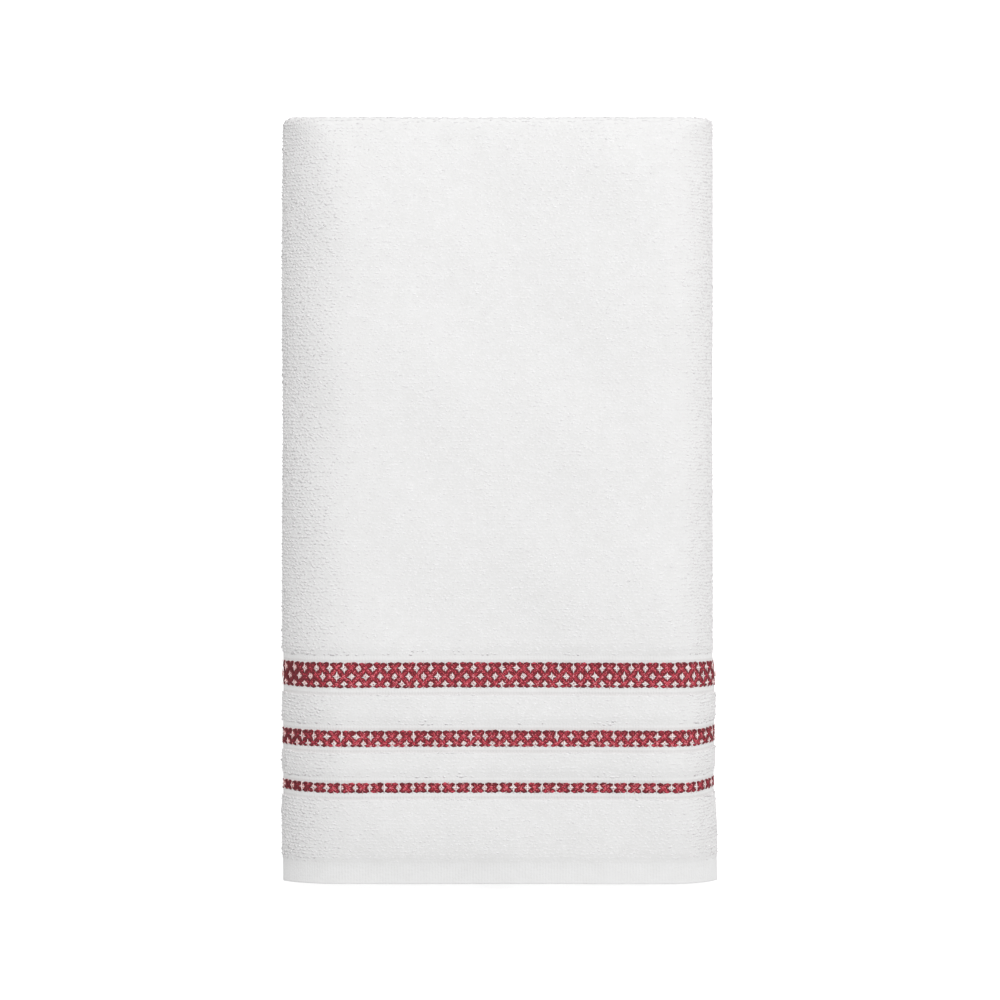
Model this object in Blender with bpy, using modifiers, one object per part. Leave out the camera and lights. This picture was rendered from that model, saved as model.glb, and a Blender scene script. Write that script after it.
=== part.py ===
"""A white terry tea towel with three woven bands, folded in four and lying with its bands up.

The cloth is doubled crosswise first, and then both long sides are turned to the back. So a
section across the width has two nested layers, the face cloth outside and the back cloth
inside, and the crosswise fold joins them at the far end.

Metres, +Z up. The origin is the middle of the underside, and +Y runs from the hems to the
crosswise fold.
"""
import math
from collections import namedtuple

import bmesh
import bpy

# The cloth
TERRY_THICKNESS = 0.0030
FLAT_THICKNESS = 0.0016
PILE_RISE = 0.0012              # length over which the loops rise beside a flat zone
HEM_DEPTH = 0.010
SELVEDGE_SHARE = 0.08           # flat-woven long edge, as a share of a flap's width
SELVEDGE_RISE_SHARE = 0.016

# Flat-woven bands of the face cloth, each with its plain margins, from the hem end
Band = namedtuple("Band", "start end")
BANDS = (
    Band(0.0388, 0.0496),
    Band(0.0604, 0.0740),
    Band(0.0872, 0.1062),
)

# The towel as it lies
HEM_END = -0.1780
FOLD_START = 0.1741
FOLD_DEPTH = 0.0038
BACK_HEM_INSET = 0.0040         # the back cloth's hem lies this far inside the face cloth's

# Heights of each layer's middle surface: on the front, at its widest point, on the underside.
# The power shapes its shoulders: 1 is an ellipse, and more slopes down sooner.
Layer = namedtuple("Layer", "front widest under power")
FACE = Layer(0.0235, 0.0092, 0.0015, 1.4)
BACK = Layer(0.0160, 0.0115, 0.0080, 1.0)

# One row for each rolled side of each layer: how far out it reaches, its depth above and below
# its widest point, and where its flap's edge lies at the hem end and at the fold end
Roll = namedtuple("Roll", "layer side reach shoulder heel edge_at_hem edge_at_fold")
ROLLS = (
    Roll(FACE, -1, 0.0997, 0.0270, 0.0110, 0.011, 0.007),
    Roll(FACE, +1, 0.0984, 0.0190, 0.0110, 0.007, 0.010),
    Roll(BACK, -1, 0.0912, 0.0070, 0.0045, 0.006, 0.007),
    Roll(BACK, +1, 0.0909, 0.0060, 0.0045, 0.003, 0.010),
)

# How far each side strays outside a straight line, and how far its cloth is drawn back from the
# hem end, in rows along the length
Stray = namedtuple("Stray", "along left right pull_left pull_right")
STRAYS = (
    Stray(-0.178, 0.0003, 0.0026, 0.0004, 0.0006),
    Stray(-0.158, 0.0004, 0.0021, 0.0010, 0.0018),
    Stray(-0.134, 0.0004, 0.0010, 0.0013, 0.0025),
    Stray(-0.111, 0.0005, 0.0013, 0.0009, 0.0022),
    Stray(-0.083, 0.0003, 0.0014, 0.0009, 0.0006),
    Stray(-0.066, 0.0003, 0.0000, 0.0006, 0.0002),
    Stray(-0.020, 0.0003, 0.0000, 0.0000, 0.0000),
    Stray(0.040, 0.0000, -0.0002, 0.0000, 0.0000),
    Stray(0.100, 0.0004, 0.0000, 0.0000, 0.0000),
    Stray(0.178, 0.0000, 0.0000, 0.0000, 0.0000),
)

# Soft swells of the upper layers: height, wavelength on X, wavelength on Y, start of the wave
Swell = namedtuple("Swell", "height across along start")
SWELLS = (
    Swell(0.0005, 0.150, 0.190, 0.7),
    Swell(0.0004, -0.090, 0.120, 2.1),
    Swell(0.0003, 0.210, 0.070, 4.0),
)

# How the stack settles: shares of its height at its two ends, and a sag along its middle
FOLD_SETTLE = 0.20
FOLD_SETTLE_LENGTH = 0.028
HEM_SETTLE = 0.09
HEM_SETTLE_LENGTH = 0.030
MIDDLE_SAG = 0.0025
MIDDLE_SAG_REACH = 0.080
CORNER_TIGHTEN = 0.45           # share by which the rolls are shallower at the crosswise fold

# Steps of the mesh in each part of the section, round the crosswise fold and along the length
SECTION_STEPS = {"front": 6, "shoulder": 8, "heel": 5, "flap": 5}
BEND_STEPS = 8
LONGEST_STEP = 0.028

Column = namedtuple("Column", "side part share flat")
Row = namedtuple("Row", "turn along flat")


def smooth(value):
    """Ease from 0 to 1 with level ends."""
    value = min(max(value, 0.0), 1.0)
    return value * value * (3.0 - 2.0 * value)


def split(stops, longest):
    """The stops with more put between them, so that no step is longer than longest."""
    lines = [stops[0]]
    for start, end in zip(stops, stops[1:]):
        count = math.ceil((end - start) / longest)
        lines += [start + (end - start) * step / count for step in range(1, count)]
        lines.append(end)
    return lines


def columns():
    """Stations across the cloth, from the left selvedge to the right one."""
    half = [Column(+1, "front", 0.0, False)]
    pile_share = 1.0 - SELVEDGE_SHARE - SELVEDGE_RISE_SHARE
    for part, steps in SECTION_STEPS.items():
        whole = pile_share if part == "flap" else 1.0
        half += [Column(+1, part, whole * step / steps, False) for step in range(1, steps + 1)]
    half.append(Column(+1, "flap", 1.0 - SELVEDGE_SHARE, True))
    half.append(Column(+1, "flap", 1.0, True))
    left = [column._replace(side=-1) for column in reversed(half)]
    return left + half[1:]


def rows():
    """Stations along the cloth, from the face cloth's hem round the fold to the back cloth's."""
    length = FOLD_START - HEM_END
    hem = [0.0, HEM_DEPTH, HEM_DEPTH + PILE_RISE]
    settle = [length - FOLD_SETTLE_LENGTH * share for share in (1.0, 0.6, 0.3, 0.0)]
    bands = []
    for band in BANDS:
        bands += [band.start - PILE_RISE, band.start, band.end, band.end + PILE_RISE]
    face = split(hem + bands + settle, LONGEST_STEP)
    back = split(hem + [stop - BACK_HEM_INSET for stop in settle], LONGEST_STEP)
    lines = [Row(0.0, HEM_END + stop, is_flat(stop)) for stop in face]
    for step in range(1, BEND_STEPS):
        turn = math.pi * step / BEND_STEPS
        lines.append(Row(turn, FOLD_START + FOLD_DEPTH * math.sin(turn), False))
    back_hem = HEM_END + BACK_HEM_INSET
    lines += [Row(math.pi, back_hem + stop, stop <= HEM_DEPTH) for stop in reversed(back)]
    return lines


def is_flat(stop):
    """Whether the face cloth is woven flat at this distance from its hem end."""
    return stop <= HEM_DEPTH or any(band.start <= stop <= band.end for band in BANDS)


def stray(along, field):
    """The value of one field of the rows of strays, eased from row to row."""
    for first, second in zip(STRAYS, STRAYS[1:]):
        if along <= second.along:
            break
    ease = smooth((along - first.along) / (second.along - first.along))
    start, end = getattr(first, field), getattr(second, field)
    return start + (end - start) * ease


def fold_share(along):
    """0 along most of the towel, easing to 1 where the crosswise fold starts."""
    return smooth((along - FOLD_START + FOLD_SETTLE_LENGTH) / FOLD_SETTLE_LENGTH)


def section_point(roll, column, along):
    """X and Z of a layer's middle surface, before the stack settles."""
    layer = roll.layer
    reach = roll.reach + stray(along, "left" if roll.side < 0 else "right")
    shoulder = roll.shoulder * (1.0 - CORNER_TIGHTEN * fold_share(along))
    angle = column.share * math.pi / 2
    if column.part == "front":
        out = (reach - shoulder) * column.share
        up = layer.front
    elif column.part == "shoulder":
        out = reach - shoulder + shoulder * math.sin(angle)
        height = max(math.cos(angle), 0.0) ** layer.power
        up = layer.widest + (layer.front - layer.widest) * height
    elif column.part == "heel":
        out = reach - roll.heel + roll.heel * math.cos(angle)
        up = layer.widest - (layer.widest - layer.under) * math.sin(angle)
    else:
        slant = (roll.edge_at_fold - roll.edge_at_hem) / (FOLD_START - HEM_END)
        edge = roll.edge_at_hem + slant * (along - HEM_END)
        out = reach - roll.heel + (edge - reach + roll.heel) * column.share
        up = layer.under
    return roll.side * out, up


def settled(across, along, up):
    """The height of a point once the stack has settled. What lies at the bottom stays there."""
    hem_share = smooth((HEM_END + HEM_SETTLE_LENGTH - along) / HEM_SETTLE_LENGTH)
    scale = 1.0 - FOLD_SETTLE * fold_share(along) - HEM_SETTLE * hem_share
    lift = (up - FACE.under) / (FACE.front - FACE.under)
    sag = MIDDLE_SAG * smooth(1.0 - abs(across) / MIDDLE_SAG_REACH)
    swell = sum(
        wave.height * math.sin(math.tau * (across / wave.across + along / wave.along) + wave.start)
        for wave in SWELLS
    )
    return FACE.under + (up - FACE.under + (swell - sag) * lift) * scale


def pulled(column, along):
    """How far a rolled side is drawn back from the hem end."""
    progress = {"front": 0.0, "shoulder": smooth(column.share) ** 2}.get(column.part, 1.0)
    return progress * stray(along, "pull_left" if column.side < 0 else "pull_right")


def cloth_point(column, row):
    """Where a point of the cloth's middle surface lies in the folded towel."""
    face, back = [roll for roll in ROLLS if roll.side == column.side]
    face_x, face_z = section_point(face, column, row.along)
    back_x, back_z = section_point(back, column, row.along)
    weight = (1.0 + math.cos(row.turn)) / 2
    across = back_x + (face_x - back_x) * weight
    up = back_z + (face_z - back_z) * weight
    return across, row.along + pulled(column, row.along), settled(across, row.along, up)


def cotton():
    """White cotton terry."""
    material = bpy.data.materials.new("cotton_terry")
    material.use_nodes = True
    shader = material.node_tree.nodes["Principled BSDF"]
    shader.inputs["Base Color"].default_value = (0.86, 0.85, 0.84, 1.0)
    shader.inputs["Roughness"].default_value = 0.95
    shader.inputs["Metallic"].default_value = 0.0
    return material


def make_towel(collection):
    """The cloth as an open grid on its folds, with a wall that is thinner where it is flat."""
    across, along = columns(), rows()
    steps_across, steps_along = len(across) - 1, len(along) - 1
    bm = bmesh.new()
    bmesh.ops.create_grid(bm, x_segments=steps_across, y_segments=steps_along, size=0.5)
    looped = []
    for index, vertex in enumerate(bm.verts):
        column = across[round((vertex.co.x + 0.5) * steps_across)]
        row = along[round((vertex.co.y + 0.5) * steps_along)]
        vertex.co = cloth_point(column, row)
        if not (column.flat or row.flat):
            looped.append(index)
    mesh = bpy.data.meshes.new("towel")
    bm.to_mesh(mesh)
    bm.free()
    mesh.shade_smooth()
    mesh.materials.append(cotton())
    towel = bpy.data.objects.new("towel", mesh)
    collection.objects.link(towel)
    towel.vertex_groups.new(name="looped").add(looped, 1.0, "REPLACE")
    wall = towel.modifiers.new("wall", "SOLIDIFY")
    wall.thickness = TERRY_THICKNESS
    wall.offset = 0.0
    wall.vertex_group = "looped"
    wall.thickness_vertex_group = FLAT_THICKNESS / TERRY_THICKNESS


for leftover in list(bpy.data.objects):
    bpy.data.objects.remove(leftover, do_unlink=True)
parts = bpy.data.collections.new("tea_towel")
bpy.context.scene.collection.children.link(parts)
make_towel(parts)
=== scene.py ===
import math
from collections import namedtuple

import bmesh
import bpy
import numpy as np
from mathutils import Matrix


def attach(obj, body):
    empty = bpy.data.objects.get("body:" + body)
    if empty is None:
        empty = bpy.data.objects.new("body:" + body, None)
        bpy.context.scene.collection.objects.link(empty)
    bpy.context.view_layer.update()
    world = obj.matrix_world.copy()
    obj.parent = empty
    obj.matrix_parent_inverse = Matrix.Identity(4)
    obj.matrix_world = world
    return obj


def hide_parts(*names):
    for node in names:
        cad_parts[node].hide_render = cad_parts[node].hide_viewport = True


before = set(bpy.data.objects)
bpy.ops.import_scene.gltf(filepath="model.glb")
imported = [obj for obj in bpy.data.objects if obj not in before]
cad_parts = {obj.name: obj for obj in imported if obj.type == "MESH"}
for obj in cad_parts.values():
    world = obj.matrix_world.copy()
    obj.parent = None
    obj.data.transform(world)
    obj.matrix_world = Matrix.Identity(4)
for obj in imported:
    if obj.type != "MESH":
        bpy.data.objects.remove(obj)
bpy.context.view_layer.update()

# The view. The camera looks straight down on the face of the towel from standing height, through
# a long lens, with the hems at the bottom of the picture and the crosswise fold at the top.
CAMERA_PLACE = (0.00035, 0.00035, 1.70)
SENSOR_WIDTH = 36.0
LENS = 130.1                    # takes in 463 mm at the height of the towel's face
FARTHEST_SEEN = 20.0

camera = bpy.data.objects.new("camera", bpy.data.cameras.new("camera"))
camera.location = CAMERA_PLACE
camera.data.sensor_width = SENSOR_WIDTH
camera.data.lens = LENS
camera.data.clip_end = FARTHEST_SEEN
bpy.context.scene.collection.objects.link(camera)
bpy.context.scene.camera = camera

# The studio. A plain white floor that is bright enough to show no shadow, an even pale sky that
# fills the shadows, and one wide soft light overhead, which leans towards the crosswise fold and
# the right side.
FLOOR_SIZE = 8.0
FLOOR_WHITE = (0.97, 0.97, 0.97, 1.0)
FLOOR_GLOW = 0.60                # added where the camera sees the floor, and nowhere else
SKY_STRENGTH = 0.46
SOFT_LIGHT_PLACE = (0.40, 0.85, 1.85)
SOFT_LIGHT_SIZE = 1.4
SOFT_LIGHT_POWER = 30.1


def add_node(tree, kind, inputs=None, **settings):
    """A new node with its settings. An input is a value, or the output socket that feeds it."""
    made = tree.nodes.new(kind)
    for name, value in settings.items():
        setattr(made, name, value)
    for key, value in (inputs or {}).items():
        if isinstance(value, bpy.types.NodeSocket):
            tree.links.new(value, made.inputs[key])
        else:
            made.inputs[key].default_value = value
    return made


def new_material(name, **values):
    """A material's node tree and its Principled shader, with plain values on the shader."""
    material = bpy.data.materials.new(name)
    material.use_nodes = True
    shader = material.node_tree.nodes["Principled BSDF"]
    for socket, value in values.items():
        shader.inputs[socket.replace("_", " ")].default_value = value
    return material, material.node_tree, shader


floor_finish, tree, shader = new_material(
    "floor_paper", Base_Color=FLOOR_WHITE, Roughness=0.9, Emission_Color=(1.0, 1.0, 1.0, 1.0)
)
seen = add_node(tree, "ShaderNodeLightPath").outputs["Is Camera Ray"]
glow = add_node(tree, "ShaderNodeMath", {0: seen, 1: FLOOR_GLOW}, operation="MULTIPLY")
tree.links.new(glow.outputs[0], shader.inputs["Emission Strength"])
bpy.ops.mesh.primitive_plane_add(size=FLOOR_SIZE)
floor = bpy.context.object
floor.name = "floor"
floor.data.materials.append(floor_finish)

sky = bpy.data.worlds.new("sky")
sky.use_nodes = True
sky.node_tree.nodes["Background"].inputs["Color"].default_value = (1.0, 1.0, 1.0, 1.0)
sky.node_tree.nodes["Background"].inputs["Strength"].default_value = SKY_STRENGTH
bpy.context.scene.world = sky

soft_light = bpy.data.objects.new("soft_light", bpy.data.lights.new("soft_light", "AREA"))
soft_light.data.shape = "SQUARE"
soft_light.data.size = SOFT_LIGHT_SIZE
soft_light.data.energy = SOFT_LIGHT_POWER
soft_light.location = SOFT_LIGHT_PLACE
soft_light.rotation_euler = soft_light.location.to_track_quat("Z", "Y").to_euler()
bpy.context.scene.collection.objects.link(soft_light)
bpy.context.scene.view_settings.view_transform = "Standard"

# The ground cloth. One length of white cotton, doubled crosswise with its hems together and then
# turned to the back along both sides. It is woven flat at its hems, selvedges and bands, and
# looped elsewhere. A place on it is across from its middle line and along from its front hem.
GROUND_THICKNESS = 0.0030       # with the loops' feet matted into it
FLAT_THICKNESS = 0.0018         # in the bands and selvedges
HEM_SHARE = 0.4                 # how far the turned hem's thickness lies between the two
RIM = 0.0004                    # width of the rounded rims of the cloth and of its flat zones
HEM_DEPTH = 0.010
ZONE_RISE = 0.0022              # length over which the looped cloth thickens above a flat zone
STEP_RISE = 0.0008              # and below one
SELVEDGE = 0.006                # flat-woven long edges
BACK_HEM_INSET = 0.0040         # the back hem lies this far inside the front one

Band = namedtuple("Band", "start end")
BANDS = (Band(0.0396, 0.0496), Band(0.0612, 0.0740), Band(0.0880, 0.1062))

HEM_END = -0.1780
FOLD_START = 0.1741
FOLD_DEPTH = 0.0031
BEND_LENGTH = 0.0106
FACE_LENGTH = FOLD_START - HEM_END
BACK_LENGTH = FACE_LENGTH - BACK_HEM_INSET

# Heights of each layer's middle surface: on the front, at its widest point, on the underside.
# The power shapes its shoulders: 1 is an ellipse, and more slopes down sooner.
Layer = namedtuple("Layer", "front widest under power")
FACE = Layer(0.0235, 0.0092, 0.0019, 1.65)
BACK = Layer(0.0160, 0.0115, 0.0080, 1.0)

# One row for each rolled side of each layer: how far out it reaches, its depth above and below
# its widest point, and where its flap's edge lies at the hem end and at the fold end
Roll = namedtuple("Roll", "layer side reach shoulder heel edge_at_hem edge_at_fold")
ROLLS = (
    Roll(FACE, -1, 0.0997, 0.0310, 0.0110, 0.011, 0.007),
    Roll(FACE, +1, 0.0984, 0.0220, 0.0110, 0.007, 0.010),
    Roll(BACK, -1, 0.0912, 0.0070, 0.0045, 0.006, 0.007),
    Roll(BACK, +1, 0.0909, 0.0060, 0.0045, 0.003, 0.010),
)

# How far each side strays outside a straight line, and how far its cloth is drawn back from the
# hem end, in rows along the length
Stray = namedtuple("Stray", "along left right pull_left pull_right")
STRAYS = (
    Stray(-0.178, 0.0003, 0.0026, 0.0004, 0.0006),
    Stray(-0.158, 0.0004, 0.0021, 0.0010, 0.0018),
    Stray(-0.134, 0.0004, 0.0010, 0.0013, 0.0025),
    Stray(-0.111, 0.0005, 0.0013, 0.0009, 0.0022),
    Stray(-0.083, 0.0003, 0.0014, 0.0009, 0.0006),
    Stray(-0.066, 0.0003, 0.0000, 0.0006, 0.0002),
    Stray(-0.020, 0.0003, 0.0000, 0.0000, 0.0000),
    Stray(0.040, 0.0000, -0.0002, 0.0000, 0.0000),
    Stray(0.100, 0.0004, 0.0000, 0.0000, 0.0000),
    Stray(0.178, 0.0000, 0.0000, 0.0000, 0.0000),
)

# Soft swells of the upper layers: height, wavelengths across and along, start of the wave
Swell = namedtuple("Swell", "height across along start")
SWELLS = (
    Swell(0.0005, 0.150, 0.190, 0.7),
    Swell(0.0004, -0.090, 0.120, 2.1),
    Swell(0.0003, 0.210, 0.070, 4.0),
    Swell(0.00020, 0.047, 0.083, 1.3),
    Swell(0.00012, -0.031, 0.042, 5.2),
)

# How the stack settles: shares of its height at its two ends, and a sag along its middle
FOLD_SETTLE = 0.14
FOLD_SETTLE_LENGTH = 0.028
HEM_SETTLE = 0.09
HEM_SETTLE_LENGTH = 0.030
MIDDLE_SAG = 0.0025
MIDDLE_SAG_REACH = 0.080
CORNER_TIGHTEN = 0.45
CROWDING = {-1: 1.45, +1: 1.65}  # how much the cloth is bunched where each side rolls down
PRESSED = 0.0006                # what lies lower than this is pressed together, and stays above 0
SECTION_SAMPLES = 1601          # in which the cloth's length round a side is measured


def smooth(value):
    """Ease from 0 to 1 with level ends."""
    value = np.clip(value, 0.0, 1.0)
    return value * value * (3.0 - 2.0 * value)


def stray(along, field):
    """The value of one field of the rows of strays, eased from row to row."""
    places = np.array([row.along for row in STRAYS])
    amounts = np.array([getattr(row, field) for row in STRAYS])
    step = np.clip(np.searchsorted(places, along) - 1, 0, len(STRAYS) - 2)
    ease = smooth((along - places[step]) / (places[step + 1] - places[step]))
    return amounts[step] + (amounts[step + 1] - amounts[step]) * ease


def fold_share(along):
    """0 along most of the towel, growing ever faster to 1 at the end of the crosswise fold."""
    share = (along - FOLD_START - FOLD_DEPTH + FOLD_SETTLE_LENGTH) / FOLD_SETTLE_LENGTH
    return np.clip(share, 0.0, 1.0) ** 2


def section(roll, progress, along):
    """X and Z of a layer's middle surface. Progress is 0-1 on the front, 1-2 down the shoulder,
    2-3 round the heel and 3-4 along the flap."""
    layer = roll.layer
    front, down, tuck, flap = (np.clip(progress - part, 0.0, 1.0) for part in range(4))
    shoulder = roll.shoulder * (1.0 - CORNER_TIGHTEN * fold_share(along))
    front_end = roll.reach - shoulder
    reach = roll.reach + stray(along, "left" if roll.side < 0 else "right")
    slant = (roll.edge_at_fold - roll.edge_at_hem) / FACE_LENGTH
    edge = roll.edge_at_hem + slant * (along - HEM_END)
    out = front_end * front + (reach - front_end) * np.sin(down * math.pi / 2)
    out = out - roll.heel * (1.0 - np.cos(tuck * math.pi / 2)) + (edge - reach + roll.heel) * flap
    height = np.cos(down * math.pi / 2) ** layer.power
    up = layer.widest + (layer.front - layer.widest) * height
    up = up - (layer.widest - layer.under) * np.sin(tuck * math.pi / 2)
    return roll.side * out, up


def settled(across, along, up):
    """Heights once the stack has settled. What lies at the bottom stays there."""
    hem_share = smooth((HEM_END + HEM_SETTLE_LENGTH - along) / HEM_SETTLE_LENGTH)
    scale = 1.0 - FOLD_SETTLE * fold_share(along) - HEM_SETTLE * hem_share
    lift = (up - FACE.under) / (FACE.front - FACE.under)
    sag = MIDDLE_SAG * smooth(1.0 - np.abs(across) / MIDDLE_SAG_REACH)
    swell = sum(
        wave.height * np.sin(math.tau * (across / wave.across + along / wave.along) + wave.start)
        for wave in SWELLS
    )
    return FACE.under + (up - FACE.under + (swell - sag) * lift) * scale


def cloth_lengths(roll):
    """Length along the cloth from its middle line, for even steps of progress."""
    progress = np.linspace(0.0, 4.0, SECTION_SAMPLES)
    out, up = section(roll, progress, np.zeros_like(progress))
    bunched = np.where(progress[1:] <= 2.0, CROWDING[roll.side], 1.0)
    steps = np.hypot(np.diff(out), bunched * np.diff(up))
    return progress, np.concatenate([[0.0], np.cumsum(steps)])


LENGTHS = {roll.side: cloth_lengths(roll) for roll in ROLLS if roll.layer is FACE}
HALF_WIDTH = {side: lengths[-1] for side, (progress, lengths) in LENGTHS.items()}
CLOTH_WIDTH = HALF_WIDTH[-1] + HALF_WIDTH[+1]
CLOTH_LENGTH = FACE_LENGTH + BEND_LENGTH + BACK_LENGTH


def middle_surface(across, along):
    """Where points of the cloth's middle surface lie in the folded towel, for two arrays."""
    place = np.zeros((len(across), 3))
    bend = np.clip((along - FACE_LENGTH) / BEND_LENGTH, 0.0, 1.0) * math.pi
    past_bend = np.clip(along - FACE_LENGTH - BEND_LENGTH, 0.0, None)
    y = HEM_END + np.clip(along, None, FACE_LENGTH) + FOLD_DEPTH * np.sin(bend) - past_bend
    weight = (1.0 + np.cos(bend)) / 2
    across_weight = 1.0 - (1.0 - weight) ** 2
    for side in (-1, +1):
        here = across < 0 if side < 0 else across >= 0
        progress = np.interp(np.abs(across[here]), LENGTHS[side][1], LENGTHS[side][0])
        face, back = [roll for roll in ROLLS if roll.side == side]
        face_x, face_z = section(face, progress, y[here])
        back_x, back_z = section(back, progress, y[here])
        x = back_x + (face_x - back_x) * across_weight[here]
        z = back_z + (face_z - back_z) * weight[here]
        pull = stray(y[here], "pull_left" if side < 0 else "pull_right")
        pull = pull * smooth(progress - 1.0) ** 2
        place[here] = np.column_stack([x, y[here] + pull, settled(x, y[here], z)])
    return place


def lay_on_folds(mesh):
    """Move a mesh from the flat cloth, with Z as its height over it, to the folded cloth."""
    count = len(mesh.vertices)
    flat = np.empty(count * 3)
    mesh.vertices.foreach_get("co", flat)
    across, along, height = flat.reshape(count, 3).T
    step = 0.0002
    over = middle_surface(across + step, along) - middle_surface(across - step, along)
    onward = middle_surface(across, along + step) - middle_surface(across, along - step)
    outward = np.cross(over, onward)
    outward = outward / np.linalg.norm(outward, axis=1, keepdims=True)
    place = middle_surface(across, along) + outward * height[:, None]
    pressed = PRESSED * np.exp(np.minimum(place[:, 2] / PRESSED - 1.0, 0.0))
    place[:, 2] = np.where(place[:, 2] < PRESSED, pressed, place[:, 2])
    mesh.vertices.foreach_set("co", place.ravel())
    mesh.update()


def flat_map(mesh, name, strips=1):
    """A UV map that looks down on the flat cloth, cut into strips that are set side by side."""
    corners = np.empty(len(mesh.loops), dtype=np.int64)
    mesh.loops.foreach_get("vertex_index", corners)
    flat = np.empty(len(mesh.vertices) * 3)
    mesh.vertices.foreach_get("co", flat)
    across, along = flat.reshape(-1, 3)[corners, :2].T
    just_over = 1.0001
    u = (across - across.min()) / (np.ptp(across) * just_over) * strips
    v = (along - along.min()) / np.ptp(along)
    strip = np.floor(u)
    layer = mesh.uv_layers.new(name=name)
    layer.uv.foreach_set("vector", np.column_stack([u - strip, (v + strip) / strips]).ravel())


def split(stops, longest):
    """The stops with more put between them, so that no step is longer than longest."""
    lines = [stops[0]]
    for start, end in zip(stops, stops[1:]):
        count = math.ceil((end - start) / longest)
        lines += [start + (end - start) * step / count for step in range(1, count)]
        lines.append(end)
    return lines


# Steps of the sheet in each part of the section, and its longest steps along the front, round
# the crosswise fold and along the back cloth
SECTION_STEPS = (16, 18, 11, 16)
FRONT_STEP = 0.0042
BEND_STEP = 0.0009
BACK_STEP = FRONT_STEP * 1.6

half_progress = np.concatenate(
    [[0.0]] + [part + np.arange(1, count + 1) / count for part, count in enumerate(SECTION_STEPS)]
)
right_lines = np.interp(half_progress, *LENGTHS[+1])
left_lines = -np.interp(half_progress[1:], *LENGTHS[-1])[::-1]
left_lines = np.insert(left_lines, 1, left_lines[0] + RIM)
right_lines = np.insert(right_lines, -1, right_lines[-1] - RIM)
across_lines = np.concatenate([left_lines, right_lines])
stops = [0.0, RIM, HEM_DEPTH, HEM_DEPTH + ZONE_RISE]
for band in BANDS:
    stops += [band.start - STEP_RISE - RIM, band.start - STEP_RISE, band.start, band.start + RIM]
    stops += [band.end - RIM, band.end, band.end + ZONE_RISE]
back_stops = [CLOTH_LENGTH - place for place in (HEM_DEPTH + ZONE_RISE, HEM_DEPTH, RIM, 0.0)]
bend_stops = split([FACE_LENGTH, FACE_LENGTH + BEND_LENGTH], BEND_STEP)
along_lines = np.array(
    split(stops + [FACE_LENGTH], FRONT_STEP)
    + bend_stops[1:]
    + split([bend_stops[-1]] + back_stops, BACK_STEP)[1:]
)


def fullness_at(across, along):
    """1 where the cloth carries loops, 0 where it is woven flat, and in between in the hems."""
    rounding = 1e-6
    to_hem = min(along, CLOTH_LENGTH - along)
    to_selvedge = HALF_WIDTH[+1] - across if across > 0 else HALF_WIDTH[-1] + across
    if to_hem <= HEM_DEPTH + rounding:
        return HEM_SHARE
    in_band = any(band.start <= along <= band.end for band in BANDS)
    return 0.0 if to_selvedge <= SELVEDGE or in_band else 1.0


bm = bmesh.new()
columns, rows = len(across_lines) - 1, len(along_lines) - 1
bmesh.ops.create_grid(bm, x_segments=columns, y_segments=rows, size=0.5)
uv_layer = bm.loops.layers.uv.new("cloth")
fullness = {}
for index, vertex in enumerate(bm.verts):
    across = across_lines[round((vertex.co.x + 0.5) * columns)]
    along = along_lines[round((vertex.co.y + 0.5) * rows)]
    vertex.co = (across, along, 0.0)
    fullness.setdefault(fullness_at(across, along), []).append(index)
for face in bm.faces:
    for corner in face.loops:
        corner[uv_layer].uv = corner.vert.co.xy
cloth_mesh = bpy.data.meshes.new("cloth")
bm.to_mesh(cloth_mesh)
bm.free()
cloth_mesh.shade_smooth()
lay_on_folds(cloth_mesh)
cloth = bpy.data.objects.new("cloth", cloth_mesh)
bpy.context.scene.collection.objects.link(cloth)
looped = cloth.vertex_groups.new(name="looped")
for share, spots in fullness.items():
    looped.add(spots, share, "REPLACE")
wall = cloth.modifiers.new("wall", "SOLIDIFY")
wall.thickness = GROUND_THICKNESS
wall.offset = 0.0
wall.vertex_group = "looped"
wall.thickness_vertex_group = FLAT_THICKNESS / GROUND_THICKNESS

# Its finish: bleached cotton, ribbed where it is woven flat, nubbly between the loops, and dyed
# dark red in the ground of each woven band. Painted shade dims a strip in the crease at the front
# edge of each flat zone, a painted shadow dims the far edge of each band's stitches, and the
# doubled hem is painted paler against the shade where it slopes down.
COTTON_WHITE = (0.82, 0.815, 0.81, 1.0)
COTTON_GREYEST = (0.78, 0.775, 0.77, 1.0)
COTTON_PALEST = (0.85, 0.85, 0.85, 1.0)
HEM_PAINTED_LIFT = 0.32                # painted light: how far the doubled hem is moved towards the palest white, against the shade where it slopes down
# The colour of the painted shade and shadow, multiplied over the cotton in their strips
PAINTED_SHADE = (0.91, 0.895, 0.895, 1.0)
CREASE_SHADE_SPAN = (-0.0004, 0.0012)      # painted shade: a dim strip in the crease at the front edge of each flat zone
STITCH_SHADOW_SPAN = (-0.0010, 0.0011)      # painted shadow: a dim strip along the far edge of each band's stitches
ZONE_SOFTNESS = 0.0003
WINE_GROUND = (0.20, 0.018, 0.026, 1.0)
WINE_INSET = 0.00055            # the dyed ground starts this far inside the band's stitches
WINE_SOFTNESS = 0.00012
RIB_PITCH = 0.00135
RIB_RELIEF = 0.12               # as a share of the nubs' relief

# Each band of the weave: its lower and upper edge, and the places of its rows of crosses, from
# the front hem, with the place across of a cross in its upper row, and how white the corners of
# each cross are
Weave = namedtuple("Weave", "lower upper rows phase corner_tone")
WEAVES = (
    Weave(0.0423, 0.0472, (0.0448,), -0.0002, 0.48),
    Weave(0.0637, 0.0716, (0.0685, 0.0653), 0.0001, 0.40),
    Weave(0.0911, 0.1031, (0.1002, 0.0964, 0.0930), 0.0013, 0.66),
)


def maths(tree, operation, first, second=0.0, third=0.0):
    """The output of a Math node."""
    inputs = {0: first, 1: second, 2: third}
    return add_node(tree, "ShaderNodeMath", inputs, operation=operation).outputs[0]


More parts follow.
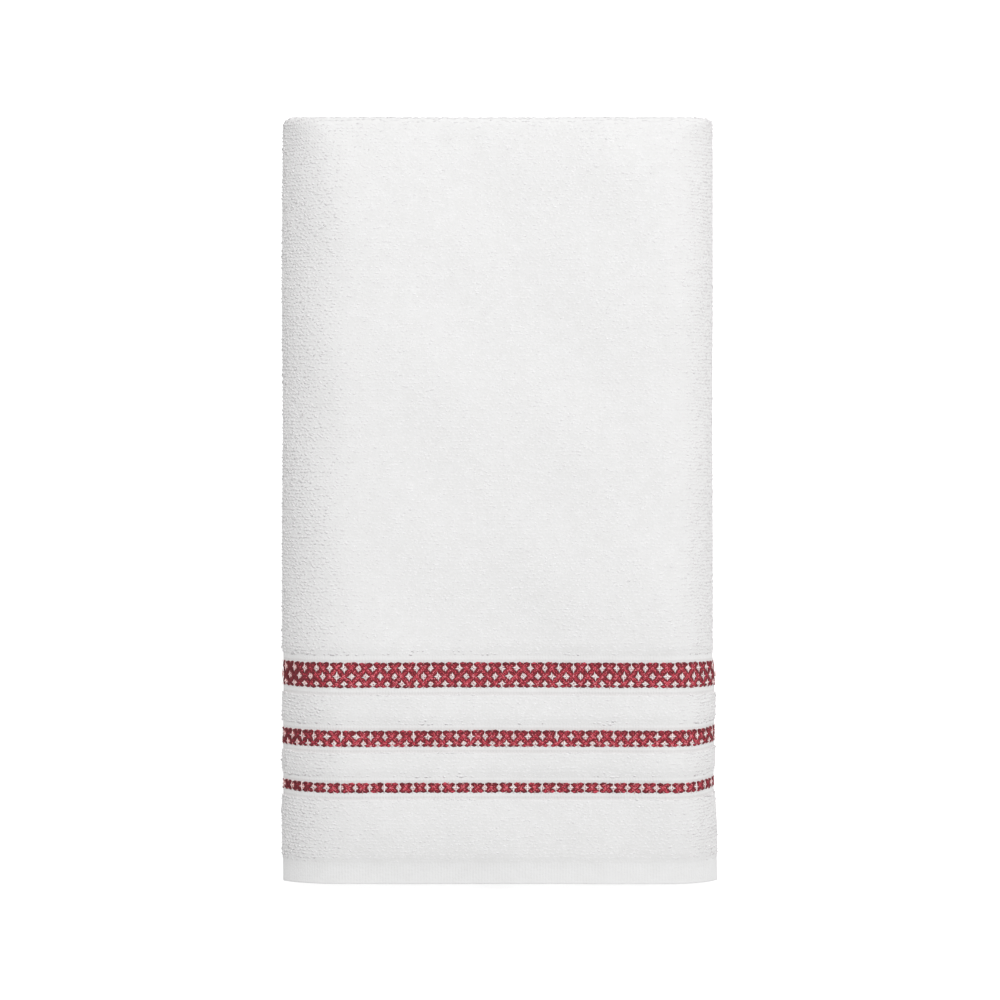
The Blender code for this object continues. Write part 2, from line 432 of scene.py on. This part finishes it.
def between(tree, value, low, high, soft):
    """1 where the value lies between low and high, with soft ends."""
    middle, half = (low + high) / 2, (high - low) / 2
    off = maths(tree, "ABSOLUTE", maths(tree, "SUBTRACT", value, middle))
    inputs = {"Value": off, "From Min": half + soft, "From Max": half - soft}
    return add_node(tree, "ShaderNodeMapRange", inputs).outputs["Result"]


def mixed(tree, factor, first, second, **settings):
    """A mix of two colours: the first where the factor is 0, and the second where it is 1."""
    inputs = {"Factor": factor, "A": first, "B": second}
    return add_node(tree, "ShaderNodeMix", inputs, data_type="RGBA", **settings).outputs["Result"]


cotton, tree, shader = new_material(
    "cotton_ground", Base_Color=COTTON_WHITE, Roughness=0.95, Sheen_Weight=0.15, Sheen_Roughness=0.6
)
uv = add_node(tree, "ShaderNodeUVMap", uv_map="cloth").outputs["UV"]
over_and_on = add_node(tree, "ShaderNodeSeparateXYZ", {"Vector": uv})
u, v = over_and_on.outputs["X"], over_and_on.outputs["Y"]
wine, in_bands, painted_shade_mask = 0.0, 0.0, 0.0
for band, weave in zip(BANDS, WEAVES):
    low, high = weave.lower + WINE_INSET, weave.upper - WINE_INSET
    wine = maths(tree, "MAXIMUM", between(tree, v, low, high, WINE_SOFTNESS), wine)
    in_band = between(tree, v, band.start, band.end, ZONE_SOFTNESS)
    in_bands = maths(tree, "MAXIMUM", in_band, in_bands)
    # Painted shade in the crease at each flat zone's front edge, and a painted shadow along the far
    # edge of each band's stitches
    for edge, (low, high) in ((band.start, CREASE_SHADE_SPAN), (weave.upper, STITCH_SHADOW_SPAN)):
        strip = between(tree, v, edge + low, edge + high, ZONE_SOFTNESS)
        painted_shade_mask = maths(tree, "MAXIMUM", strip, painted_shade_mask)
in_hem = between(tree, v, -HEM_DEPTH, HEM_DEPTH, ZONE_SOFTNESS)
flat_woven = maths(tree, "MAXIMUM", in_bands, in_hem)
tint = add_node(tree, "ShaderNodeTexNoise", {"Vector": uv, "Scale": 160.0, "Detail": 3.0})
# The doubled hem is painted paler: a painted lift against the shade where it slopes down
tint_and_painted_hem_lift = maths(tree, "MULTIPLY_ADD", in_hem, HEM_PAINTED_LIFT, tint.outputs["Fac"])
bleached = mixed(tree, tint_and_painted_hem_lift, COTTON_GREYEST, COTTON_PALEST)
# The painted shade and shadow darken the bleached cotton in their strips
with_painted_shade = mixed(tree, painted_shade_mask, bleached, PAINTED_SHADE, blend_type="MULTIPLY")
dyed = mixed(tree, wine, with_painted_shade, WINE_GROUND)
tree.links.new(dyed, shader.inputs["Base Color"])
ribs = maths(tree, "SINE", maths(tree, "MULTIPLY", u, math.tau / RIB_PITCH))
ribs = maths(tree, "MULTIPLY", ribs, flat_woven)
nubs = add_node(tree, "ShaderNodeTexNoise", {"Vector": uv, "Scale": 900.0, "Detail": 2.0})
relief = maths(tree, "MULTIPLY_ADD", ribs, RIB_RELIEF, nubs.outputs["Fac"])
bump = add_node(tree, "ShaderNodeBump", {"Height": relief, "Strength": 0.6, "Distance": 0.0003})
tree.links.new(bump.outputs["Normal"], shader.inputs["Normal"])
cloth_mesh.materials.append(cotton)
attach(cloth, "root")
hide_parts("towel")

# The terry pile. Loops of soft single yarn stand out of the ground cloth in rows across it,
# each an arch that leans and turns its own way. They stand open where the cloth rolls over its
# sides, the left one more than the right, and are painted a little greyer there, as painted shade.
ROW_PITCH = 0.0016
LOOP_SPACING = 0.0021
LOOP_LENGTH = 0.0029
LOOP_HEIGHT = 0.00035
LOOP_YARN = 0.00061             # radius of the three-sided yarn at the top of a loop
LOOP_ROOT = 0.00088             # the loops' feet, over the ground cloth's middle surface
EDGE_DROP = 0.00055             # how much lower the first row stands above a flat zone
DROP_LENGTH = 0.0026            # and the length over which the rows rise again
ARCH_UP = 1.33                  # the arch's handles, as shares of its height and its length
ARCH_OUT = 0.46
FOOT_YARN = 0.25                # the yarn at a loop's feet, as a share of its radius
YARN_SWELL = 0.6                # the less, the nearer to its feet it is full
STRAY_ACROSS = 0.00055          # how far a loop strays from its place
STRAY_ALONG = 0.00032
ROW_SWAY = 0.0022               # how far a row wanders from a straight line
ROWS_BEFORE = 500.25            # added to a row's number, which is then positive and rounds cleanly

# The least and the most of a loop's own length, thickness and height, as shares
LONGER = (0.75, 1.25)
FATTER = (0.85, 1.12)
TALLER = (0.85, 1.15)

# Where over the rolled sides the loops open and painted shade greys them: from where to where
# across
Ramp = namedtuple("Ramp", "name start end")
OPENING_RAMPS = (Ramp("Left opening", -0.070, -0.112), Ramp("Right opening", 0.084, 0.104))
PILE_SHADE_RAMPS = (Ramp("Left pile shade", -0.048, -0.088), Ramp("Right pile shade", 0.076, 0.095))


def tree_with_inputs(name, sockets):
    """A geometry tree that has the named inputs, and the outputs of its input node."""
    tree = bpy.data.node_groups.new(name, "GeometryNodeTree")
    kinds = {float: "NodeSocketFloat", int: "NodeSocketInt", "mesh": "NodeSocketGeometry"}
    kinds["material"] = "NodeSocketMaterial"
    for socket, kind in sockets.items():
        tree.interface.new_socket(socket, in_out="INPUT", socket_type=kinds[kind])
    tree.interface.new_socket("Geometry", in_out="OUTPUT", socket_type="NodeSocketGeometry")
    return tree, tree.nodes.new("NodeGroupInput").outputs


def vector(tree, x=0.0, y=0.0, z=0.0):
    """The output of a Combine XYZ node."""
    return add_node(tree, "ShaderNodeCombineXYZ", {"X": x, "Y": y, "Z": z}).outputs["Vector"]


def random_number(tree, low, high, seed, salt):
    """A random number for each point or instance. The salt keeps the draws apart."""
    seed = maths(tree, "ADD", seed, salt)
    made = add_node(tree, "FunctionNodeRandomValue", {2: low, 3: high, "Seed": seed})
    return made.outputs[1]


def finish_tree(tree, geometry, material):
    """Realize what was instanced, shade it smooth, give it its material and send it out."""
    made = add_node(tree, "GeometryNodeRealizeInstances", {"Geometry": geometry})
    made = add_node(tree, "GeometryNodeSetShadeSmooth", {"Geometry": made.outputs[0]})
    inputs = {"Geometry": made.outputs[0], "Material": material}
    made = add_node(tree, "GeometryNodeSetMaterial", inputs)
    add_node(tree, "NodeGroupOutput", {"Geometry": made.outputs[0]})


def grow(name, tree, source, settings):
    """An object with the plain mesh that a tree makes from a source mesh."""
    piece = bpy.data.objects.new(name, source)
    bpy.context.scene.collection.objects.link(piece)
    modifier = piece.modifiers.new("grow", "NODES")
    modifier.node_group = tree
    for socket in tree.interface.items_tree:
        if socket.in_out == "INPUT" and socket.name in settings:
            modifier[socket.identifier] = settings[socket.name]
    bpy.context.view_layer.update()
    evaluated = piece.evaluated_get(bpy.context.evaluated_depsgraph_get())
    mesh = bpy.data.meshes.new_from_object(evaluated)
    mesh.name = name
    piece.modifiers.remove(modifier)
    piece.data = mesh
    return piece


def side_ramps(tree, ramps, across, given):
    """For each ramp, what grows from 0 at its start to the input of its name at its end."""
    made = []
    for ramp in ramps:
        inputs = {"Value": across, "From Min": ramp.start, "From Max": ramp.end}
        inputs["To Max"] = given[ramp.name]
        made.append(add_node(tree, "ShaderNodeMapRange", inputs).outputs["Result"])
    return made


terry_tree, given = tree_with_inputs(
    "terry_rows",
    {
        "Start across": float, "Width": float, "Start along": float, "Length": float,
        "Row pitch": float, "Loop spacing": float, "Loop length": float, "Loop height": float,
        "Yarn": float, "Root": float, "Points": int, "Lean": float, "Turn": float, "Seed": int,
        "Left opening": float, "Right opening": float, "Left pile shade": float, "Right pile shade": float,
        "Start drop": float, "Drop length": float, "Cotton": "material",
    },
)
tree = terry_tree
loops_across = maths(tree, "DIVIDE", given["Width"], given["Loop spacing"])
loops_along = maths(tree, "DIVIDE", given["Length"], given["Row pitch"])
grid = add_node(
    tree,
    "GeometryNodeMeshGrid",
    {
        "Size X": maths(tree, "SUBTRACT", given["Width"], given["Loop spacing"]),
        "Size Y": maths(tree, "SUBTRACT", given["Length"], given["Row pitch"]),
        "Vertices X": maths(tree, "ROUND", loops_across),
        "Vertices Y": maths(tree, "ROUND", loops_along),
    },
)
position = add_node(tree, "GeometryNodeInputPosition").outputs[0]
y_of_row = add_node(tree, "ShaderNodeSeparateXYZ", {"Vector": position}).outputs["Y"]
row_number = maths(tree, "DIVIDE", y_of_row, given["Row pitch"])
row_number = maths(tree, "ROUND", maths(tree, "ADD", row_number, ROWS_BEFORE))
half_or_none = maths(tree, "FRACT", maths(tree, "DIVIDE", row_number, 2.0))
stagger = maths(tree, "MULTIPLY", half_or_none, given["Loop spacing"])
sway = add_node(tree, "ShaderNodeTexNoise", {"Vector": position, "Scale": 45.0, "Detail": 1.0})
sway = maths(tree, "MULTIPLY", maths(tree, "SUBTRACT", sway.outputs["Fac"], 0.5), ROW_SWAY)
stray_x = random_number(tree, -STRAY_ACROSS, STRAY_ACROSS, given["Seed"], 1)
stray_y = random_number(tree, -STRAY_ALONG, STRAY_ALONG, given["Seed"], 2)
centre_x = maths(tree, "MULTIPLY_ADD", given["Width"], 0.5, given["Start across"])
centre_y = maths(tree, "MULTIPLY_ADD", given["Length"], 0.5, given["Start along"])
shift_x = maths(tree, "ADD", centre_x, maths(tree, "ADD", stagger, stray_x))
shift_y = maths(tree, "ADD", centre_y, maths(tree, "ADD", sway, stray_y))
from_start = maths(tree, "MULTIPLY_ADD", given["Length"], 0.5, y_of_row)
inputs = {"Value": from_start, "From Max": given["Drop length"], "To Min": given["Start drop"]}
inputs["To Max"] = 0.0
drop = add_node(tree, "ShaderNodeMapRange", inputs).outputs["Result"]
height = maths(tree, "SUBTRACT", given["Root"], drop)
inputs = {"Geometry": grid.outputs["Mesh"], "Offset": vector(tree, shift_x, shift_y, height)}
placed = add_node(tree, "GeometryNodeSetPosition", inputs)
new_position = add_node(tree, "GeometryNodeInputPosition").outputs[0]
across_here = add_node(tree, "ShaderNodeSeparateXYZ", {"Vector": new_position}).outputs["X"]
opening = maths(tree, "ADD", *side_ramps(tree, OPENING_RAMPS, across_here, given))
tone = random_number(tree, 0.0, 1.0, given["Seed"], 3)
# Painted shade: the loops' tone is lowered over both rolled sides
for side_shade in side_ramps(tree, PILE_SHADE_RAMPS, across_here, given):
    tone = maths(tree, "SUBTRACT", tone, side_shade)
inputs = {"Geometry": placed.outputs[0], "Name": "tone", "Value": tone}
toned = add_node(tree, "GeometryNodeStoreNamedAttribute", inputs, domain="POINT")
half_length = maths(tree, "MULTIPLY", given["Loop length"], 0.5)
handle_up = maths(tree, "MULTIPLY", given["Loop height"], ARCH_UP)
handle_out = maths(tree, "MULTIPLY", given["Loop length"], ARCH_OUT)
arch = add_node(
    tree,
    "GeometryNodeCurvePrimitiveBezierSegment",
    {
        "Resolution": 16,
        "Start": vector(tree, maths(tree, "MULTIPLY", half_length, -1.0)),
        "Start Handle": vector(tree, maths(tree, "MULTIPLY", handle_out, -1.0), 0.0, handle_up),
        "End Handle": vector(tree, handle_out, 0.0, handle_up),
        "End": vector(tree, half_length),
    },
    mode="POSITION",
)
inputs = {"Curve": arch.outputs[0], "Count": given["Points"]}
arch = add_node(tree, "GeometryNodeResampleCurve", inputs, mode="COUNT")
factor = add_node(tree, "GeometryNodeSplineParameter").outputs["Factor"]
swell = maths(tree, "SINE", maths(tree, "MULTIPLY", factor, math.pi))
swell = maths(tree, "POWER", swell, YARN_SWELL)
plumpness = maths(tree, "MULTIPLY_ADD", swell, 1.0 - FOOT_YARN, FOOT_YARN)
yarn_round = add_node(tree, "GeometryNodeCurvePrimitiveCircle", {"Resolution": 3}, mode="RADIUS")
tree.links.new(given["Yarn"], yarn_round.inputs["Radius"])
inputs = {0: arch.outputs[0], 1: yarn_round.outputs[0], "Scale": plumpness, "Fill Caps": True}
loop_shape = add_node(tree, "GeometryNodeCurveToMesh", inputs)
lean = maths(tree, "MULTIPLY", random_number(tree, -1.0, 1.0, given["Seed"], 4), given["Lean"])
turn = random_number(tree, -1.0, 1.0, given["Seed"], 5)
turn = maths(tree, "MULTIPLY", turn, maths(tree, "ABSOLUTE", turn))
turn = maths(tree, "MULTIPLY", turn, maths(tree, "ADD", given["Turn"], opening))
longer = random_number(tree, *LONGER, given["Seed"], 6)
fatter = random_number(tree, *FATTER, given["Seed"], 7)
taller = random_number(tree, *TALLER, given["Seed"], 8)
taller = maths(tree, "MULTIPLY_ADD", taller, opening, taller)
loops = add_node(
    tree,
    "GeometryNodeInstanceOnPoints",
    {
        "Points": toned.outputs[0],
        "Instance": loop_shape.outputs[0],
        "Rotation": vector(tree, lean, 0.0, turn),
        "Scale": vector(tree, longer, fatter, taller),
    },
)
finish_tree(tree, loops.outputs[0], given["Cotton"])

# The yarn of the loops: each has its own tone of white, and a tone below 0, where painted shade
# over the rolled sides lowers it, is greyer still
TERRY_WHITE = (0.87, 0.868, 0.865, 1.0)
TERRY_GREYER = (0.83, 0.82, 0.825, 1.0)
TERRY_PALER = (0.87, 0.865, 0.87, 1.0)
terry, tree, shader = new_material(
    "cotton_terry", Base_Color=TERRY_WHITE, Roughness=0.95, Sheen_Weight=0.2, Sheen_Roughness=0.5
)
tone = add_node(tree, "ShaderNodeAttribute", attribute_name="tone").outputs["Fac"]
shade = mixed(tree, tone, TERRY_GREYER, TERRY_PALER, clamp_factor=False)
tree.links.new(shade, shader.inputs["Base Color"])

# How the loops are set: their spacing, the points along each, and how much coarser they are.
# The underside is coarser, because it doesn't show.
Grade = namedtuple("Grade", "spacing points coarser")
FRONT_GRADE = Grade(LOOP_SPACING, 5, 1.0)
UNDER_GRADE = Grade(0.0036, 4, 1.25)

# Fields of pile: from where to where across and along each lies. The front's fields reach round
# both sides, and the long one is in three parts.
Field = namedtuple("Field", "name left right start end grade")
FRONT_LEFT, FRONT_RIGHT = -0.1265, 0.1215
PILE_END = FACE_LENGTH + 0.007          # the pile goes some way round the crosswise fold
FIRST_PILE_SEED = 10

zone_edges = [HEM_DEPTH] + [edge for band in BANDS for edge in band] + [PILE_END]
zones = list(zip(zone_edges[::2], zone_edges[1::2]))
long_start, long_end = zones[-1]
thirds = [long_start + (long_end - long_start) * number / 3 for number in range(4)]
fields = [
    Field(f"pile_{number}", FRONT_LEFT, FRONT_RIGHT, start, end, FRONT_GRADE)
    for number, (start, end) in enumerate(zones[:-1] + list(zip(thirds, thirds[1:])))
]
for side, left, right in (
    ("left", -HALF_WIDTH[-1] + SELVEDGE, FRONT_LEFT),
    ("right", FRONT_RIGHT, HALF_WIDTH[+1] - SELVEDGE),
):
    fields += [
        Field(f"pile_under_{side}_{number}", left, right, start, end, UNDER_GRADE)
        for number, (start, end) in enumerate(zones)
    ]

for number, field in enumerate(fields):
    grade = field.grade
    settings = {
        "Start across": field.left, "Width": field.right - field.left,
        "Start along": field.start, "Length": field.end - field.start,
        "Row pitch": ROW_PITCH * grade.coarser, "Loop spacing": grade.spacing,
        "Loop length": LOOP_LENGTH * grade.coarser, "Loop height": LOOP_HEIGHT,
        "Yarn": LOOP_YARN * grade.coarser, "Root": LOOP_ROOT, "Points": grade.points,
        "Lean": 0.3, "Turn": 0.55, "Seed": FIRST_PILE_SEED + number,
        "Left opening": 0.45, "Right opening": 0.22, "Left pile shade": 1.15, "Right pile shade": 1.9,
        "Start drop": EDGE_DROP if field.start in zone_edges else 0.0, "Drop length": DROP_LENGTH,
        "Cotton": terry,
    }
    piece = grow(field.name, terry_tree, bpy.data.meshes.new(field.name), settings)
    flat_map(piece.data, "OFBake")
    lay_on_folds(piece.data)
    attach(piece, "root")

# The woven bands. Red weft floats over the ground in short stitches that step from pick to pick
# and draw a lattice of diamonds, with a small white cross woven in each. Dark red knots scallop
# the edges of each band.
PITCH = 0.00665                 # from cross to cross
STITCH_LIFT = 0.00092           # the red stitches' middle, over the cloth's middle surface
STITCH_STEP = 0.00090           # from stitch to stitch along an arm of the lattice
FIRST_STITCH = 0.6              # the first stitch's place on an arm, in such steps
STRAND_OFFSET = 0.00046         # from strand to strand across an arm
ARM_FADE = 0.24                 # how much darker an arm's far end is, in tone
STRAND_FADE = 0.08              # and its outer strands
CROSSING_TURN = 0.8             # of the two bright stitches over each crossing
KNOT_INSET = 0.00060            # of the knots' middles, from the band's edge
KNOT_BOW = 0.10                 # how far each knot is turned, so that they scallop the edge
PICK_OFFSET = 0.00012           # the dark pick lies this far beside its cross's middle
LAST_ROW_SHARE = 0.75           # the lowest of several rows of crosses is this much as high
CORNER_OUT = 0.00060            # of the corner stitches, from their cross's middle
CORNER_UP = 0.00064
CORNER_TURN = 0.80
SPIKE_INSET = 0.00050           # of the short white spikes, from the band's edge
SPIKE_BETWEEN_TONE = 0.1        # of those between two crosses

# The kinds of stitch: how far one rises over the red ones, its length and width, and its tone
Kind = namedtuple("Kind", "rise length width tone")
ARM_STITCH = Kind(0.0, 0.00130, 0.00060, 0.60)
CROSSING = Kind(0.00010, 0.0016, 0.00062, 0.60)
KNOT = Kind(0.00004, 0.00350, 0.00125, 0.0)
DARK_PICK = Kind(0.00072, 0.00070, 0.00052, 0.1)
UPRIGHT = Kind(0.00058, 0.0044, 0.00076, 1.0)
BAR = Kind(0.00048, 0.0036, 0.00078, 1.0)
CORNER = Kind(0.00020, 0.0014, 0.0007, 0.5)
SPIKE = Kind(0.00036, 0.0014, 0.00040, 1.0)

# Stitches are placed on one repeat of the weave, and the tree lays the repeats side by side
Stitch = namedtuple("Stitch", "across along rise length width turn tone")


def stitch(kind, across, along, turn=0.0, tone=None, share=1.0):
    """A stitch of a kind at a place, with a tone of its own and a share of its kind's length."""
    tone = kind.tone if tone is None else tone
    return Stitch(across, along, kind.rise, kind.length * share, kind.width, turn, tone)


def arm_stitches(start, end):
    """One arm of the lattice: three strands side by side, brightest where they cross."""
    run, rise = end[0] - start[0], end[1] - start[1]
    length = math.hypot(run, rise)
    turn = math.atan(rise / run)
    steps = max(2, round(length / STITCH_STEP))
    stitches = []
    for number in range(steps):
        share = (number + FIRST_STITCH) / steps
        for strand in (-1, 0, +1):
            off = strand * STRAND_OFFSET / length
            across = start[0] + run * share - off * rise
            along = start[1] + rise * share + off * run
            tone = ARM_STITCH.tone - ARM_FADE * share - STRAND_FADE * abs(strand)
            stitches.append(stitch(ARM_STITCH, across, along, turn, tone))
    return stitches


def lattice_stitches(weave):
    """The red stitches of one repeat of a band, and the dark picks that show in its crosses."""
    stitches = []
    for number, row in enumerate(weave.rows):
        middle = weave.phase + PITCH / 2 * (number % 2)
        crossing = weave.phase + PITCH / 2 * ((number + 1) % 2)
        for way in (-1, +1):
            stitches.append(stitch(CROSSING, crossing, row, way * CROSSING_TURN))
        stitches.append(stitch(DARK_PICK, middle + PICK_OFFSET, row, math.pi / 2))
        for neighbour, edge in ((number - 1, weave.upper), (number + 1, weave.lower)):
            inner = 0 <= neighbour < len(weave.rows)
            inset = math.copysign(KNOT_INSET, row - edge)
            target = (row + weave.rows[neighbour]) / 2 if inner else edge + inset
            for way in (-1, +1):
                end = (crossing + way * PITCH / 4, target)
                stitches += arm_stitches((crossing, row), end)
                if not inner:
                    bow = way * math.copysign(KNOT_BOW, target - row)
                    stitches.append(stitch(KNOT, *end, -bow))
    return stitches


def cross_stitches(weave):
    """The white stitches of one repeat of a band: its crosses, and spikes between its knots."""
    stitches = []
    last = len(weave.rows) - 1
    for number, row in enumerate(weave.rows):
        middle = weave.phase + PITCH / 2 * (number % 2)
        share = LAST_ROW_SHARE if number > 0 and number == last else 1.0
        stitches.append(stitch(UPRIGHT, middle, row, math.pi / 2, share=share))
        stitches.append(stitch(BAR, middle, row))
        for way in (-1, +1):
            for up in (-1, +1):
                across, along = middle + way * CORNER_OUT, row + up * CORNER_UP * share
                turn = -way * up * CORNER_TURN
                stitches.append(stitch(CORNER, across, along, turn, weave.corner_tone))
    for number, edge, inward in ((0, weave.upper, -1), (last, weave.lower, +1)):
        middle = weave.phase + PITCH / 2 * (number % 2)
        along = edge + inward * SPIKE_INSET
        stitches.append(stitch(SPIKE, middle, along, math.pi / 2))
        stitches.append(stitch(SPIKE, middle + PITCH / 2, along, math.pi / 2, SPIKE_BETWEEN_TONE))
    return stitches


def stitch_points(name, stitches):
    """A mesh of loose points, one for each stitch, with the stitch's sizes as attributes."""
    mesh = bpy.data.meshes.new(name)
    mesh.from_pydata([(each.across, each.along, each.rise) for each in stitches], [], [])
    for size in ("length", "width", "turn", "tone"):
        attribute = mesh.attributes.new(size, "FLOAT", "POINT")
        attribute.data.foreach_set("value", [getattr(each, size) for each in stitches])
    return mesh


# Unevenness of the stitches that both yarns share: in lift and in turn
LIFT_SPREAD = (-0.00005, 0.00008)
TURN_SPREAD = 0.15

# Where over the rolled sides the bands are darkened by painted shade, as the cloth turns from the
# light: from where to where across
SHADE_RAMPS = (Ramp("Left painted shade", -0.078, -0.106), Ramp("Right painted shade", 0.092, 0.108))

weave_tree, given = tree_with_inputs(
    "woven_repeats",
    {
        "Repeat": "mesh", "Repeats": int, "Pitch": float, "Start": float, "Lift": float,
        "Flatness": float, "Unevenness": float, "Wobble": float, "Tone spread": float,
        "Left painted shade": float, "Right painted shade": float, "Grain rings": int, "Seed": int,
        "Yarn": "material",
    },
)
tree = weave_tree
inputs = {"Count": given["Repeats"], "Start Location": vector(tree, given["Start"])}
inputs["Offset"] = vector(tree, given["Pitch"])
line = add_node(tree, "GeometryNodeMeshLine", inputs, mode="OFFSET", count_mode="TOTAL")
inputs = {"Points": line.outputs[0], "Instance": given["Repeat"]}
repeats = add_node(tree, "GeometryNodeInstanceOnPoints", inputs)
repeats = add_node(tree, "GeometryNodeRealizeInstances", {"Geometry": repeats.outputs[0]})
wobble = [
    maths(tree, "MULTIPLY", random_number(tree, -1.0, 1.0, given["Seed"], salt), given["Wobble"])
    for salt in (1, 2)
]
rise = random_number(tree, *LIFT_SPREAD, given["Seed"], 9)
offset = vector(tree, wobble[0], wobble[1], maths(tree, "ADD", given["Lift"], rise))
inputs = {"Geometry": repeats.outputs[0], "Offset": offset}
repeats = add_node(tree, "GeometryNodeSetPosition", inputs)


def attribute(tree, name):
    """The output of a float attribute of the stitches' points."""
    inputs = {"Name": name}
    return add_node(tree, "GeometryNodeInputNamedAttribute", inputs, data_type="FLOAT").outputs[0]


uneven = [
    maths(tree, "MULTIPLY_ADD", random_number(tree, -1.0, 1.0, given["Seed"], salt),
          given["Unevenness"], 1.0)
    for salt in (3, 4)
]
new_tone = maths(tree, "MULTIPLY_ADD", random_number(tree, -1.0, 1.0, given["Seed"], 5),
                 given["Tone spread"], attribute(tree, "tone"))
new_position = add_node(tree, "GeometryNodeInputPosition").outputs[0]
across_here = add_node(tree, "ShaderNodeSeparateXYZ", {"Vector": new_position}).outputs["X"]
# Painted shade: each stitch's tone is lowered over the rolled sides
for darker in side_ramps(tree, SHADE_RAMPS, across_here, given):
    new_tone = maths(tree, "SUBTRACT", new_tone, darker)
inputs = {"Geometry": repeats.outputs[0], "Name": "tone", "Value": new_tone}
repeats = add_node(tree, "GeometryNodeStoreNamedAttribute", inputs, domain="POINT")
new_turn = random_number(tree, -TURN_SPREAD, TURN_SPREAD, given["Seed"], 6)
new_turn = maths(tree, "ADD", attribute(tree, "turn"), new_turn)
inputs = {"Segments": 4, "Rings": given["Grain rings"], "Radius": 0.5}
grain = add_node(tree, "GeometryNodeMeshUVSphere", inputs)
inputs = {"Geometry": grain.outputs[0], "Rotation": (0.0, math.pi / 2, 0.0)}
grain = add_node(tree, "GeometryNodeTransform", inputs)
length = maths(tree, "MULTIPLY", attribute(tree, "length"), uneven[0])
width = maths(tree, "MULTIPLY", attribute(tree, "width"), uneven[1])
inputs = {
    "Points": repeats.outputs[0],
    "Instance": grain.outputs[0],
    "Rotation": vector(tree, 0.0, 0.0, new_turn),
    "Scale": vector(tree, length, width, maths(tree, "MULTIPLY", width, given["Flatness"])),
}
stitched = add_node(tree, "GeometryNodeInstanceOnPoints", inputs)
finish_tree(tree, stitched.outputs[0], given["Yarn"])


def dyed_yarn(name, shades, mottle):
    """Soft dyed cotton. Its shade follows each stitch's tone, with fine mottling over it."""
    material, tree, shader = new_material(
        name, Roughness=0.8, Sheen_Weight=0.03, Sheen_Roughness=0.5
    )
    tone = add_node(tree, "ShaderNodeAttribute", attribute_name="tone").outputs["Fac"]
    place = add_node(tree, "ShaderNodeTexCoord").outputs["Object"]
    flecks = add_node(tree, "ShaderNodeTexNoise", {"Vector": place, "Scale": 1700.0, "Detail": 1.0})
    fleck = maths(tree, "SUBTRACT", flecks.outputs["Fac"], 0.5)
    tone = maths(tree, "MULTIPLY_ADD", fleck, mottle, tone)
    ramp = add_node(tree, "ShaderNodeValToRGB", {"Fac": tone})
    ramp.color_ramp.elements.new(MIDDLE_TONE)
    for element, shade in zip(ramp.color_ramp.elements, shades):
        element.color = (*shade, 1.0)
    tree.links.new(ramp.outputs["Color"], shader.inputs["Base Color"])
    return material


# Each yarn's shades: at tone 0, at the middle tone and at tone 1
MIDDLE_TONE = 0.6
RED_SHADES = ((0.175, 0.017, 0.026), (0.81, 0.076, 0.121), (1.0, 0.40, 0.45))
WHITE_SHADES = ((0.80, 0.33, 0.33), (1.0, 0.72, 0.71), (1.0, 0.95, 0.94))
red_yarn = dyed_yarn("cotton_red", RED_SHADES, 1.8)
white_yarn = dyed_yarn("cotton_white", WHITE_SHADES, 0.3)

# The two weavings: what makes one repeat's stitches, their yarn, how far they stray, how much
# their sizes and tones differ, how much painted shade darkens them over each side, and the form of
# each stitch
Weaving = namedtuple("Weaving", "name make yarn wobble uneven spread left right rings flatness")
WEAVINGS = (
    Weaving("lattice_red", lattice_stitches, red_yarn, 0.00012, 0.15, 0.34, 0.75, 0.50, 2, 0.70),
    Weaving("crosses_white", cross_stitches, white_yarn, 0.00008, 0.22, 0.12, 0.45, 0.25, 3, 0.55),
)
REPEATS = int(CLOTH_WIDTH / PITCH) - 3          # they stop short of the selvedges
FIRST_REPEAT = -math.floor((HALF_WIDTH[-1] - PITCH) / PITCH) * PITCH
MAP_STRIPS = 6
STITCH_SEED = 50

for weaving in WEAVINGS:
    stitches = [each for weave in WEAVES for each in weaving.make(weave)]
    settings = {
        "Repeats": REPEATS, "Pitch": PITCH, "Start": FIRST_REPEAT, "Lift": STITCH_LIFT,
        "Flatness": weaving.flatness, "Unevenness": weaving.uneven, "Wobble": weaving.wobble,
        "Tone spread": weaving.spread, "Left painted shade": weaving.left, "Right painted shade": weaving.right,
        "Grain rings": weaving.rings, "Seed": STITCH_SEED, "Yarn": weaving.yarn,
    }
    piece = grow(weaving.name, weave_tree, stitch_points(weaving.name, stitches), settings)
    flat_map(piece.data, "OFBake", strips=MAP_STRIPS)
    lay_on_folds(piece.data)
    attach(piece, "root")
